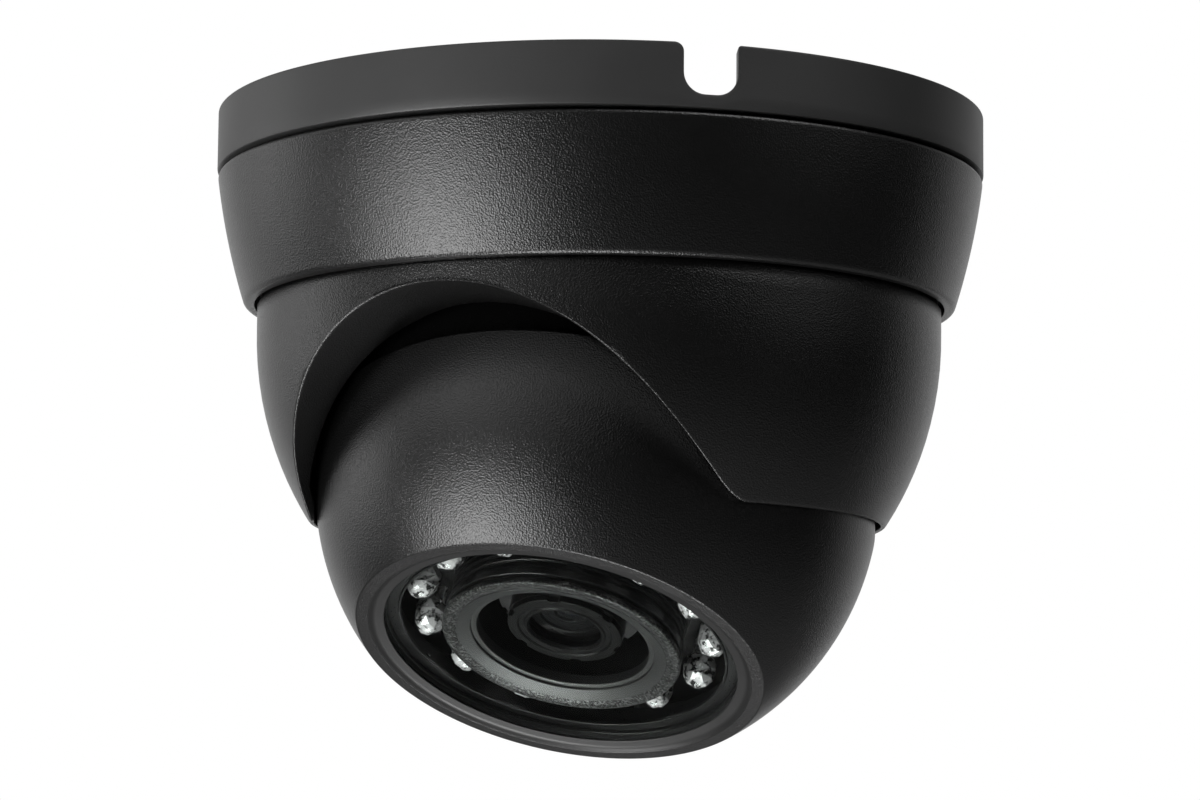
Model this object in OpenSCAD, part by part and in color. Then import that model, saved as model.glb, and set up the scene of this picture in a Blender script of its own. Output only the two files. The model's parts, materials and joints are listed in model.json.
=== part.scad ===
// Ceiling turret camera: a ball that looks out of a scooped skirt, under a fixed round base.
// Millimetres. Origin at the centre of the face that lies on the ceiling, +Z up, cable notch on -Y.

/* [Base] */
// Diameter of the mounting base
base_d = 93.4; // [92:0.2:96]
// Height of the base, from the ceiling to the seam
base_h = 7.3; // [7:0.1:9]
// Width of the cable notch in the rim
notch_w = 6.2; // [4.6:0.2:7]
// Diameter of the mounting holes
mount_hole_d = 4.2; // [3.2:0.1:4.4]

/* [Cover] */
// Turn of the cover at rest, from the notch
cover_turn = 42; // [-180:1:180]
// Height of the band above the skirt
band_h = 16.35; // [15.8:0.05:18]
// Height of the skirt below the band
skirt_h = 25.6; // [24:0.1:28]
// Radius of the scoop cut in the skirt
scoop_r = 28.6; // [26:0.2:29]
// Rise of the scoop's axis towards the front
scoop_rise = 5.5; // [0:0.5:8]

/* [Ball] */
// Diameter of the ball
ball_d = 68.28; // [66:0.02:70]
// Pan of the ball at rest, from the notch
pan_rest = 39; // [-180:1:180]
// Tilt of the ball at rest, from straight down
tilt_rest = 27.5; // [0:0.5:75]
// Diameter of the flat face of the ball
face_d = 49.1; // [48:0.1:50]

/* [Optics] */
// Thickness of the front glass
glass_h = 0.8; // [0.6:0.1:1.6]
// Places on the ring of lamps, one of them taken by the light sensor
lamp_count = 13; // [11:1:14]
// Diameter of a lamp
lamp_d = 4.3; // [4:0.1:4.8]

/* [Hidden] */
$fn = 96;
eps = 0.01;

// Fits: sliding clearance, fixed mates, and free gaps between bodies
run = 0.05;
mate = 0.02;
free = 0.4;

// Colours of the finishes
satin = "#2b2b2d";
coat = "#1d1d1f";
plastic = "#161617";
rubber = "#101011";
steel = "#8d8f92";
board = "#1d4a2c";
clear = "#cfd8dc";

// Screws: shank radius, head radius and head height of the small ones
screw_r = 1;
head_r = 1.75;
head_h = 1.3;

// Base levels and radii
base_r = base_d / 2;
rim_w = 2.8;
rim_in = base_r - rim_w;
floor_top = 1.2 - base_h;
floor_h = 1.9;
floor_bot = floor_top - floor_h;
notch_deep = base_h - 1.4;
seam_gap = 0.45;
mount_r = base_r - 6.7;
boss_r = 3.4;
mount_turns = [90, 210, 330];

// Cover levels and radii
cover_top = -base_h - seam_gap;
band_bot = cover_top - band_h;
skirt_bot = band_bot - skirt_h;
scoop_top = band_bot - 1.6;
band_wall = 2.4;
skirt_wall = 2.8;
band_r = base_r - 0.08;
skirt_r = base_r - 5.15;
neck_in = skirt_r - skirt_wall;
spigot_out = neck_in - 1.85;
spigot_in = spigot_out - 3;
spigot_bot = cover_top - 9.85;
rib_bot = spigot_bot + 0.2;
rib_top = rib_bot + 3.2;
keeper_h = 1.4;
lip_soft = 0.3;
neck_clear = spigot_bot - 8.3;
keeper_r = (spigot_in + spigot_out) / 2;

// Yoke plate, under the base's floor, which the ball hangs from
plate_top = floor_bot - 1.7;
plate_h = 1.8;
plate_bot = plate_top - plate_h;

// Ball, with heights t along the optical axis from the ball's centre
ball_r = ball_d / 2;
dome_r = ball_r - 1.14;
dome_gap = 0.45;
ball_z = plate_bot - dome_gap - dome_r;
lip_drop = ball_z - skirt_bot;
socket_r = ball_r + 1.15;
lip_in = ball_r + 0.4;
shell_in = ball_r - 2.94;
face_r = face_d / 2;
face_t = sqrt(ball_r * ball_r - face_r * face_r);
rear_t = 0.75;
bezel_w = 1.7;
bezel_edge = 0.12;
glass_inset = 0.72;
glass_top = face_t - glass_inset;
glass_bot = glass_top - glass_h;
gasket_h = 0.6;
clamp_h = 3.2;
ring_bot = face_t - 7.2;
pocket_r = face_r - 0.95;
opening_r = face_r - 3.25;

// The bearing tube in the ball, and the web that carries it
tube_r = min(ball_r - 9.84, spigot_in - 9.6);
tube_in = tube_r - 5.8;
tube_bot = -6;
web_bot = 5.7;
web_top = 7.5;
cover_flange_h = 2;
can_r = tube_in + 1.9;
can_bot = -19;
rear_screw_r = tube_r - 1.8;
seal_r = tube_in + 1.4;

// Tilt parts, measured out along the tilt axis
collar_in = tube_r + run;
collar_out = collar_in + 2.05;
collar_up = web_bot - free;
collar_down = tube_bot + free;
pad_x = collar_out + 0.2;
washer_x = pad_x + 0.05;
washer_h = 0.7;
arm_in = washer_x + washer_h + 0.1;
arm_w = 1.8;
arm_out = arm_in + arm_w;
arm_front = -2.5;
arm_back = 5;
arm_end_r = 4.5;
pivot_r = 1.75;
pivot_head_r = 2.5;
pivot_head_h = 1.15;

// Dome that closes the back of the ball, with flat sides that pass between the yoke's arms
dome_wall = 1.8;
dome_x = collar_out + 0.3;
dome_t = rear_t - free;

// Yoke's plate and hub
plate_r = arm_out + 1.5;
hub_r = 11.9;
hub_in = 9.5;
hub_top = floor_top + 1.7;

// Lamps and lens
lamp_ring_r = opening_r - 3.65;
lamp_first = 259.3;
lamp_tip = glass_bot - 1.7;
lamp_h = 6.7;
led_top = lamp_tip - lamp_h;
led_h = 1.6;
led_bot = led_top - led_h;
led_r = pocket_r + 3.4;
led_in = 11.6;
led_boss_at = pocket_r + 1;
shroud_r = lamp_ring_r - lamp_d / 2 - 1.1;
shroud_in = 11.1;
funnel_r = shroud_r - 1;
funnel_drop = 0.8;
shroud_h = 2.4;
shroud_top = glass_bot - mate;
shroud_bot = shroud_top - shroud_h;
lens_top = shroud_top - 2.3;
barrel_r = 5.97;
head_bot = lens_top - 3.1;

// Boards
plate_out = tube_in + 3;
chassis_h = 1;
chassis_screw_at = tube_in + 1.8;
board_w = 2 * (tube_in - 0.8) / sqrt(2);
board_h = 1.6;
post_at = board_w / 2 - 2.5;
post_r = 2.2;
main_top = -6;
main_r = tube_in - 0.9;
holder_w = 16;
holder_h = 4;
tray_t = 3.6;
tray_l = 17;
tray_w = 9;
tray_h = 1;
tray_x = -3.5;
tray_pitch = 7;

// Places around a circle
module around(radius, turns) {
    for (turn = turns)
        rotate([0, 0, turn])
            translate([radius, 0, 0])
                children();
}

// The four corners of a board
module corners(at) {
    for (x = [-at, at], y = [-at, at])
        translate([x, y, 0])
            children();
}

// Left and right, each child drawn facing +X
module both_sides() {
    for (side = [0, 1])
        mirror([side, 0, 0])
            children();
}

module ring(outer, inner, low, high) {
    rotate_extrude()
        translate([inner, low])
            square([outer - inner, high - low]);
}

// A pan head screw with a cross recess, head resting on z = 0 and shank going down
module pan_screw(length) {
    difference() {
        union() {
            cylinder(r = head_r, h = head_h);
            translate([0, 0, -length])
                cylinder(r = screw_r - mate, h = length + eps);
        }
        translate([0, 0, head_h])
            for (turn = [0, 90])
                rotate([0, 0, turn])
                    cube([2.2, 0.5, 1.2], center = true);
    }
}

// What to take off a corner between an arc and a level line to round it with radius f.
// side is 1 for a line on top of the shape and -1 for a line under it.
module arc_corner(centre, radius, level, f, side) {
    yc = level - side * f;
    xc = centre[0] + sqrt(pow(radius - f, 2) - pow(yc - centre[1], 2));
    mid = [xc, yc];
    on_arc = centre + (mid - centre) * radius / (radius - f);
    corner = [centre[0] + sqrt(radius * radius - pow(level - centre[1], 2)), level];
    difference() {
        polygon([mid, [xc, level], [xc, level + side], corner + [1, side], on_arc + [1, 0], on_arc]);
        translate(mid)
            circle(r = f);
    }
}

// An arc that is upright at the top and passes through a lower point: its radius
function arc_r(inset, drop) = (inset * inset + drop * drop) / (2 * inset);

band_arc_z = cover_top + 1.25;
band_arc_r = arc_r(band_r - skirt_r - 0.9, band_arc_z - band_bot);
band_arc_c = [band_r - band_arc_r, band_arc_z];

// The skirt is part of a sphere, upright at its top, that comes down to the lip round the ball
lip_r = sqrt(lip_in * lip_in - lip_drop * lip_drop) + 0.53;
skirt_z = skirt_bot + sqrt(skirt_r * skirt_r - lip_r * lip_r);

// Frames: the cover, the yoke, and the ball with +Z along its optical axis
module in_cover() {
    rotate([0, 0, -cover_turn])
        children();
}

module in_yoke() {
    rotate([0, 0, -pan_rest])
        children();
}

module in_ball() {
    in_yoke()
        translate([0, 0, ball_z])
            rotate([180 - tilt_rest, 0, 0])
                children();
}

// Outline of the cable notch, seen from the front, with rounded mouth corners
module notch_outline() {
    half = notch_w / 2;
    mouth = 0.8;
    translate([0, half - notch_deep])
        circle(r = half);
    translate([-half, half - notch_deep])
        square([notch_w, notch_deep - half + 1]);
    for (side = [-1, 1])
        difference() {
            translate([side * half, 0])
                square([2 * mouth, 2 * mouth], center = true);
            translate([side * (half + mouth), -mouth])
                circle(r = mouth);
        }
}

module mounting_base() {
    soft = 0.5;
    color(satin)
        difference() {
            union() {
                rotate_extrude()
                    difference() {
                        union() {
                            translate([rim_in, -base_h])
                                square([rim_w, base_h]);
                            translate([hub_r + run, -base_h])
                                square([rim_in - hub_r, floor_top + base_h]);
                            translate([hub_r + run, floor_bot])
                                square([rim_in - hub_r - 0.5, floor_h]);
                            translate([spigot_in, spigot_bot])
                                square([spigot_out - spigot_in, floor_top - spigot_bot]);
                        }
                        difference() {
                            translate([base_r - soft, -soft])
                                square(soft + 1);
                            translate([base_r - soft, -soft])
                                circle(r = soft);
                        }
                        translate([base_r, -base_h])
                            circle(r = 0.3, $fn = 4);
                    }
                around(mount_r, mount_turns)
                    translate([0, 0, floor_bot])
                        cylinder(r = boss_r, h = -floor_bot);
                around(hub_r + 6, mount_turns)
                    translate([0, -0.8, floor_bot])
                        cube([mount_r - hub_r - 7, 1.6, floor_h + 2]);
            }
            translate([0, -rim_in + 6, 0])
                rotate([90, 0, 0])
                    linear_extrude(rim_w + 12)
                        notch_outline();
            around(mount_r, mount_turns)
                translate([0, 0, floor_bot - 1])
                    cylinder(d = mount_hole_d, h = 2 - floor_bot);
            around(keeper_r, [30, 150, 270])
                translate([0, 0, spigot_bot - 1])
                    cylinder(r = screw_r, h = 6);
        }
}

module cover_retainer() {
    color(steel)
        difference() {
            ring(neck_in - 0.3, spigot_in, spigot_bot - keeper_h, spigot_bot);
            around(keeper_r, [30, 150, 270])
                translate([0, 0, spigot_bot - keeper_h - 1])
                    cylinder(r = screw_r + 0.1, h = keeper_h + 2);
        }
}

module retainer_screws() {
    color(steel)
        around(keeper_r, [30, 150, 270])
            translate([0, 0, spigot_bot - keeper_h])
                rotate([180, 0, 0])
                    pan_screw(keeper_h + 4);
}

// Radial place of the lock screw, at the back of the cover
module at_lock_screw(radius) {
    translate([0, radius, (rib_bot + rib_top) / 2])
        rotate([-90, 0, 0])
            children();
}

module cover_band() {
    color(coat)
        in_cover()
            difference() {
                rotate_extrude()
                    difference() {
                        intersection() {
                            translate(band_arc_c)
                                circle(r = band_arc_r, $fn = 180);
                            translate([skirt_r + run, band_bot])
                                square([base_r, band_h]);
                        }
                        intersection() {
                            translate(band_arc_c)
                                circle(r = band_arc_r - band_wall, $fn = 180);
                            translate([0, band_bot + 2.2])
                                square([base_r, band_h]);
                        }
                        arc_corner(band_arc_c, band_arc_r, band_bot, 1.1, -1);
                        arc_corner(band_arc_c, band_arc_r, cover_top, 0.3, 1);
                    }
                at_lock_screw(skirt_r + 1)
                    cylinder(r = 1.75, h = 8);
            }
}

// Cut that the ball looks through: a slanted cylinder, grown by wall for the lining round it
module scoop_cylinder(wall) {
    translate([0, -skirt_r, scoop_top])
        rotate([90 - scoop_rise, 0, 0])
            translate([0, -scoop_r, -skirt_r + 10])
                cylinder(r = scoop_r + wall, h = skirt_r + 10, $fn = 180);
}

// What rounds the scoop's two lower corners by three flats, in the same slanted frame
module scoop_corners() {
    rise = [sin(scoop_rise), cos(scoop_rise)];
    corner_y = -sqrt(pow(lip_r, 2) - pow(scoop_r * 0.97, 2));
    low = rise * [corner_y + skirt_r, skirt_bot - scoop_top];
    f = 1.2;
    mid_y = low + f;
    mid_x = sqrt(pow(scoop_r + f, 2) - pow(mid_y + scoop_r, 2));
    corner_x = sqrt(pow(scoop_r, 2) - pow(low + scoop_r, 2));
    from = 180 + atan2(mid_y + scoop_r, mid_x);
    bend = [for (i = [0:3])
        let (a = from + (270 - from) * i / 3)
        [mid_x + f * cos(a), mid_y + f * sin(a)]];
    translate([0, -skirt_r, scoop_top])
        rotate([90 - scoop_rise, 0, 0])
            both_sides()
                translate([0, 0, -skirt_r + 10])
                    linear_extrude(skirt_r + 10)
                        polygon([2 * bend[0] - bend[1], bend[1], bend[2], 2 * bend[3] - bend[2],
                                 [corner_x - 1, low - 3]]);
}

// The skirt's cross-section, thick enough for the scoop: the ball's socket and the spigot are left out
module skirt_section() {
    difference() {
        union() {
            intersection() {
                translate([0, skirt_z])
                    circle(r = skirt_r, $fn = 180);
                translate([0, skirt_bot])
                    square([base_r, skirt_z - skirt_bot]);
            }
            translate([0, skirt_z])
                square([skirt_r, rib_top - skirt_z]);
        }
        translate([lip_r, skirt_bot])
            circle(r = lip_soft, $fn = 4);
        translate([0, ball_z])
            circle(r = lip_in, $fn = 180);
        intersection() {
            translate([0, ball_z])
                circle(r = socket_r, $fn = 180);
            translate([0, skirt_bot + 2.8])
                square([base_r, ball_d]);
        }
        translate([0, ball_z])
            square([spigot_out + run - 6, ball_d]);
        translate([0, neck_clear])
            square([spigot_out + run, ball_d]);
    }
}

// The hollow that leaves the skirt its thin wall
module skirt_hollow() {
    rotate_extrude() {
        intersection() {
            translate([0, skirt_z])
                circle(r = neck_in, $fn = 180);
            translate([0, skirt_bot - 1])
                square([base_r, skirt_z - skirt_bot + 1]);
        }
        translate([0, skirt_z])
            square([neck_in, rib_bot - skirt_z]);
    }
}

module skirt() {
    color(coat)
        in_cover()
            difference() {
                rotate_extrude()
                    skirt_section();
                difference() {
                    skirt_hollow();
                    scoop_cylinder(2.4);
                }
                scoop_cylinder(0);
                scoop_corners();
                at_lock_screw(spigot_out - 1)
                    cylinder(r = 1.5 + mate, h = 10);
            }
}

module cover_lock_screw() {
    length = band_r - 2.2 - spigot_out - 0.4;
    color(steel)
        in_cover()
            at_lock_screw(spigot_out + 0.4)
                difference() {
                    cylinder(r = 1.5, h = length);
                    translate([0, 0, length - 1.6])
                        cylinder(r = 0.87, h = 2, $fn = 6);
                }
}

module yoke() {
    color(plastic)
        in_yoke()
            difference() {
                union() {
                    ring(plate_r, hub_in, plate_bot, plate_top);
                    ring(hub_r, hub_in, plate_bot, hub_top);
                    both_sides() {
                        translate([arm_in, arm_front, ball_z])
                            cube([arm_w, arm_back - arm_front, plate_top - ball_z]);
                        translate([arm_in, 0, ball_z])
                            rotate([0, 90, 0])
                                cylinder(r = arm_end_r, h = arm_w);
                    }
                }
                both_sides()
                    translate([arm_in - 1, 0, ball_z])
                        rotate([0, 90, 0])
                            cylinder(r = pivot_r + run, h = arm_w + 2);
                around((hub_r + plate_r) / 2, [45, 135, 225, 315])
                    translate([0, 0, plate_bot - 1])
                        cylinder(r = 4, h = plate_h + 2);
            }
}

module pan_washer() {
    color(rubber)
        ring(hub_r + 5, hub_r + 0.1, plate_top, floor_bot - 0.1);
}

module hub_clip() {
    color(steel)
        in_yoke()
            difference() {
                ring(hub_r + 3, hub_r + mate, floor_top + 0.2, floor_top + 1.2);
                translate([-1, 0, floor_top])
                    cube([2, hub_r + 5, 2]);
            }
}

module tilt_collar() {
    color(plastic)
        in_ball()
            difference() {
                union() {
                    ring(collar_out, collar_in, collar_down, collar_up);
                    both_sides()
                        translate([tube_r, 0, 0])
                            rotate([0, 90, 0])
                                cylinder(r = 4.2, h = pad_x - tube_r);
                }
                translate([0, 0, collar_down])
                    cylinder(r = collar_in, h = collar_up - collar_down);
                both_sides()
                    translate([tube_r, 0, 0])
                        rotate([0, 90, 0])
                            cylinder(r = pivot_r + mate, h = 6);
            }
}

module rear_dome() {
    color(plastic)
        in_ball()
            difference() {
                intersection() {
                    sphere(r = dome_r);
                    translate([-dome_x, -ball_d, -ball_d])
                        cube([2 * dome_x, 2 * ball_d, ball_d + dome_t]);
                }
                intersection() {
                    sphere(r = dome_r - dome_wall);
                    cube([2 * (dome_x - dome_wall), 2 * ball_d, 2 * ball_d], center = true);
                }
                translate([0, 0, collar_down - 0.1])
                    cylinder(r = collar_out + 0.6, h = ball_r);
                translate([0, 0, -ball_d])
                    cylinder(r = 8, h = ball_d);
            }
}

module pivot_screws() {
    start = collar_in + 0.5;
    head_x = arm_out + 0.05;
    color(steel)
        in_ball()
            both_sides()
                rotate([0, 90, 0])
                    difference() {
                        union() {
                            translate([0, 0, start])
                                cylinder(r = pivot_r, h = head_x - start + eps);
                            translate([0, 0, head_x])
                                cylinder(r = pivot_head_r, h = pivot_head_h);
                        }
                        translate([0, 0, head_x + pivot_head_h])
                            cube([0.7, 6, 1.2], center = true);
                    }
}

module pivot_washers() {
    color(steel)
        in_ball()
            both_sides()
                rotate([0, 90, 0])
                    ring(3.4, pivot_r + mate, washer_x, washer_x + washer_h);
}

led_boss_turns = [30, 150, 270];

module ball_shell() {
    color(coat)
        in_ball()
            difference() {
                union() {
                    rotate_extrude() {
                        difference() {
                            intersection() {
                                circle(r = ball_r, $fn = 180);
                                translate([0, rear_t])
                                    square([ball_r, face_t - rear_t]);
                            }
                            intersection() {
                                circle(r = shell_in, $fn = 180);
                                translate([0, rear_t - 1])
                                    square([ball_r, ring_bot - rear_t + 1]);
                            }
                            translate([0, ring_bot - 1])
                                square([pocket_r, glass_top - ring_bot + 1]);
                            polygon([[0, glass_top - 1], [opening_r, glass_top - 1],
                                     [opening_r, glass_top + bezel_edge], [face_r - bezel_w, face_t],
                                     [face_r - bezel_w, face_t + 1], [0, face_t + 1]]);
                            arc_corner([0, 0], ball_r, face_t, 0.35, 1);
                        }
                        intersection() {
                            circle(r = shell_in + 0.6, $fn = 180);
                            translate([tube_in, web_bot])
                                square([ball_r, web_top - web_bot]);
                        }
                        translate([tube_in, tube_bot])
                            square([tube_r - tube_in, web_top - tube_bot]);
                    }
                    around(led_boss_at, led_boss_turns)
                        translate([0, 0, led_top])
                            cylinder(r = 2, h = ring_bot - led_top + 0.5);
                }
                around(led_boss_at, led_boss_turns)
                    translate([0, 0, led_top - 1])
                        cylinder(r = screw_r, h = 4.2);
                around(chassis_screw_at, [90, 210, 330])
                    translate([0, 0, web_top - 4])
                        cylinder(r = screw_r, h = 5);
                around(rear_screw_r, [45, 135, 225, 315])
                    translate([0, 0, tube_bot - 1])
                        cylinder(r = screw_r, h = 5);
                ring(seal_r + 0.75, seal_r - 0.75, tube_bot - 1, tube_bot + 1);
            }
}

module front_glass() {
    color(clear)
        in_ball()
            translate([0, 0, glass_bot])
                cylinder(r = pocket_r - 0.2, h = glass_h);
}

module glass_gasket() {
    color(rubber)
        in_ball()
            ring(pocket_r - 0.1, opening_r + 0.1, glass_bot - gasket_h, glass_bot);
}

module glass_clamp_ring() {
    top = glass_bot - gasket_h;
    color(plastic)
        in_ball()
            difference() {
                ring(pocket_r - mate, opening_r - 0.7, top - clamp_h, top);
                for (turn = [0, 90])
                    rotate([0, 0, turn])
                        translate([0, 0, top - clamp_h])
                            cube([2 * pocket_r + 2, 2.5, 2], center = true);
            }
}

module lens_shroud() {
    color(rubber)
        in_ball()
            difference() {
                rotate_extrude()
                    polygon([[shroud_in - 0.7, shroud_bot], [shroud_r, shroud_bot], [shroud_r, shroud_top],
                             [funnel_r, shroud_top], [shroud_in, shroud_top - funnel_drop],
                             [shroud_in - 0.7, shroud_top - funnel_drop - 0.3]]);
                ring(shroud_r + 1, shroud_r - 0.8, shroud_top - 1.3, shroud_top - 0.8);
            }
}

module lens_tube() {
    color(plastic)
        in_ball() {
            ring(shroud_r - 0.6, led_in, led_top, shroud_bot);
            ring(shroud_r, led_in, led_top, led_top + 1);
        }
}

module led_board() {
    color(board)
        in_ball()
            difference() {
                ring(led_r, led_in, led_bot, led_top);
                around(led_boss_at, led_boss_turns)
                    translate([0, 0, led_bot - 1])
                        cylinder(r = screw_r + 0.1, h = led_h + 2);
            }
}

// Turns of the places on the lamp ring, the light sensor's place first
function lamp_turn(i) = lamp_first + i * 360 / lamp_count;

// A domed lamp with its foot on z = 0
module lamp(radius, height) {
    cylinder(r = radius + 0.35, h = 1);
    cylinder(r = radius, h = height - radius);
    intersection() {
        translate([0, 0, height - radius])
            sphere(r = radius);
        cylinder(r = radius + 1, h = height);
    }
}

module ir_leds() {
    color(clear)
        in_ball()
            for (i = [1 : lamp_count - 1])
                rotate([0, 0, lamp_turn(i)])
                    translate([lamp_ring_r, 0, led_top])
                        lamp(lamp_d / 2, lamp_h);
}

module light_sensor() {
    color("#5a4a3a")
        in_ball()
            rotate([0, 0, lamp_turn(0)])
                translate([lamp_ring_r, 0, led_top])
                    lamp(1.5, lamp_h - 1);
}

module led_board_screws() {
    color(steel)
        in_ball()
            around(led_boss_at, led_boss_turns)
                translate([0, 0, led_bot])
                    rotate([180, 0, 0])
                        pan_screw(led_h + 3);
}

module chassis_plate() {
    color(steel)
        in_ball()
            difference() {
                ring(plate_out, 9.5, web_top, web_top + chassis_h);
                around(chassis_screw_at, [90, 210, 330])
                    translate([0, 0, web_top - 1])
                        cylinder(r = screw_r + 0.1, h = 3);
                corners(post_at)
                    translate([0, 0, web_top - 1])
                        cylinder(r = screw_r + 0.1, h = 3);
            }
}

module chassis_screws() {
    color(steel)
        in_ball()
            translate([0, 0, web_top + chassis_h]) {
                around(chassis_screw_at, [90, 210, 330])
                    pan_screw(chassis_h + 3);
                corners(post_at)
                    pan_screw(chassis_h + 2.5);
            }
}

// Hexagonal post with a threaded hole in each end
module post(low, high) {
    difference() {
        translate([0, 0, low])
            cylinder(r = post_r, h = high - low, $fn = 6);
        translate([0, 0, low - 1])
            cylinder(r = screw_r, h = high - low + 2);
    }
}

module front_standoffs() {
    color("#b08d3e")
        in_ball()
            corners(post_at)
                post(board_h, web_top);
}

module sensor_board() {
    color(board)
        in_ball()
            difference() {
                translate([-board_w / 2, -board_w / 2, 0])
                    cube([board_w, board_w, board_h]);
                corners(post_at)
                    translate([0, 0, -1])
                        cylinder(r = screw_r + 0.1, h = board_h + 2);
            }
}

module image_sensor() {
    color("#2c3140")
        in_ball()
            translate([-4.25, -3.75, board_h])
                cube([8.5, 7.5, 1.5]);
}

module lens_holder() {
    holder_top = head_bot - 2.1;
    color(plastic)
        in_ball()
            difference() {
                union() {
                    translate([-holder_w / 2, -holder_w / 2, board_h])
                        cube([holder_w, holder_w, holder_h]);
                    translate([0, 0, board_h])
                        cylinder(r = 7.6, h = holder_top - board_h);
                }
                translate([-6, -6, board_h - 1])
                    cube([12, 12, tray_t + tray_h + 0.5 - board_h + 1]);
                translate([-holder_w, -tray_w / 2 - 0.3, tray_t - 0.3])
                    cube([2 * holder_w, tray_w + 0.6, tray_h + 0.6]);
                translate([0, 0, board_h])
                    cylinder(r = barrel_r + mate, h = 20);
            }
}

// Lens screwed into the holder, hollow from end to end, with seats for its glasses
module lens_barrel() {
    low = board_h + holder_h;
    color(plastic)
        in_ball()
            difference() {
                union() {
                    translate([0, 0, low])
                        cylinder(r = barrel_r, h = head_bot - low + eps);
                    translate([0, 0, head_bot])
                        cylinder(r = 7, h = lens_top - head_bot - 0.8);
                }
                translate([0, 0, low - 1])
                    cylinder(r = 3.4, h = 20);
                translate([0, 0, low - 1])
                    cylinder(r = 4.5, h = 3.5);
                translate([0, 0, head_bot + 0.2])
                    cylinder(r = 5.5, h = 10);
            }
}

module lens_front_ring() {
    color(plastic)
        in_ball()
            difference() {
                ring(6.9, 4.3, lens_top - 0.8, lens_top);
                for (turn = [20 : 60 : 320])
                    rotate([0, 0, turn])
                        translate([6.9, 0, lens_top])
                            cube([1.2, 1.4, 1], center = true);
            }
}

module lens_lock_ring() {
    low = head_bot - 2;
    color("#3a3a3c")
        in_ball()
            difference() {
                ring(8.6, barrel_r + mate, low, head_bot - 0.1);
                for (turn = [0 : 30 : 330])
                    rotate([0, 0, turn])
                        translate([8.6, 0, low + 1])
                            cube([0.8, 1.2, 4], center = true);
            }
}

// A glass with a bulging front, cut from a ball of radius bulge
module bulged_glass(radius, low, height, bulge) {
    intersection() {
        translate([0, 0, low])
            cylinder(r = radius, h = height);
        translate([0, 0, low + height - bulge])
            sphere(r = bulge);
    }
}

module front_lens() {
    color(clear)
        in_ball()
            bulged_glass(5.4, head_bot + 0.25, 2, 12);
}

module rear_lens() {
    low = board_h + holder_h;
    color(clear)
        in_ball()
            bulged_glass(4.4, low + 0.3, 2.1, 9);
}

module at_tray() {
    in_ball()
        translate([tray_x, 0, tray_t])
            children();
}

module filter_tray() {
    color(plastic)
        at_tray()
            difference() {
                translate([-tray_l / 2, -tray_w / 2, 0])
                    cube([tray_l, tray_w, tray_h]);
                for (side = [-0.5, 0.5])
                    translate([side * tray_pitch - 3, -3, -1])
                        cube([6, 6, tray_h + 2]);
                translate([-1, tray_w / 2 - 1.4, -1])
                    cube([2, 1, tray_h + 2]);
            }
}

module filter_glasses() {
    color("#a8c8d8")
        at_tray()
            for (side = [-0.5, 0.5])
                translate([side * tray_pitch - 3 + mate, -3 + mate, 0.2])
                    cube([6 - 2 * mate, 6 - 2 * mate, 0.6]);
}

module filter_magnet() {
    color(steel)
        at_tray()
            translate([-1 + mate, tray_w / 2 - 1.4 + mate, 0])
                cube([2 - 2 * mate, 1 - 2 * mate, tray_h]);
}

module filter_coil() {
    color("#a4552a")
        in_ball()
            difference() {
                translate([-4, holder_w / 2, board_h])
                    cube([8, 3.4, holder_h]);
                translate([-2.6, holder_w / 2 + 0.8, board_h + 0.6])
                    cube([5.2, 1.8, holder_h]);
            }
}

module rear_standoffs() {
    color("#b08d3e")
        in_ball()
            corners(post_at * 0.9)
                post(main_top, 0);
}

module board_connector() {
    color("#d8d4c8")
        in_ball()
            translate([-6, -2.5, main_top])
                cube([12, 5, -main_top]);
}

module main_board() {
    color(board)
        in_ball()
            difference() {
                translate([0, 0, main_top - board_h])
                    cylinder(r = main_r, h = board_h);
                corners(post_at * 0.9)
                    translate([0, 0, main_top - board_h - 1])
                        cylinder(r = screw_r + 0.1, h = board_h + 2);
            }
}

module main_chip() {
    color("#202022")
        in_ball()
            translate([-6, -5, main_top - board_h - 1.6])
                cube([11, 11, 1.6]);
}

module power_parts() {
    low = main_top - board_h;
    color("#3c3c40")
        in_ball() {
            translate([-4, -13, low - 5])
                cube([8, 6, 5]);
            translate([11.5, 0, low - 6])
                cylinder(r = 3, h = 6);
            translate([-14, -3, low - 4])
                cube([6, 6, 4]);
        }
}

module board_screws() {
    color(steel)
        in_ball()
            corners(post_at * 0.9)
                translate([0, 0, main_top - board_h])
                    rotate([180, 0, 0])
                        pan_screw(board_h + 2.5);
}

module rear_cover() {
    wall = 2.2;
    soft = 4;
    low = tube_bot - cover_flange_h;
    color(coat)
        in_ball()
            difference() {
                union() {
                    ring(tube_r + 0.3, tube_in - 0.5, low, tube_bot);
                    rotate_extrude()
                        difference() {
                            translate([0, can_bot])
                                square([can_r, low - can_bot + eps]);
                            difference() {
                                translate([can_r - soft, can_bot - 1])
                                    square([soft + 1, soft + 1]);
                                translate([can_r - soft, can_bot + soft])
                                    circle(r = soft);
                            }
                        }
                    translate([0, 0, can_bot - 2])
                        cylinder(r = 7.5, h = 3);
                }
                translate([0, 0, can_bot + wall])
                    cylinder(r = tube_in - 0.5, h = -can_bot);
                translate([0, 0, can_bot - 3])
                    cylinder(r = 4, h = 10);
                around(rear_screw_r, [45, 135, 225, 315])
                    translate([0, 0, low - 1])
                        cylinder(r = screw_r + 0.1, h = cover_flange_h + 2);
            }
}

module rear_seal() {
    color(rubber)
        in_ball()
            ring(seal_r + 0.7, seal_r - 0.7, tube_bot, tube_bot + 0.95);
}

module rear_cover_screws() {
    color(steel)
        in_ball()
            around(rear_screw_r, [45, 135, 225, 315])
                translate([0, 0, tube_bot - cover_flange_h])
                    rotate([180, 0, 0])
                        pan_screw(cover_flange_h + 3.5);
}

gland_seat = can_bot - 2;

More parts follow.
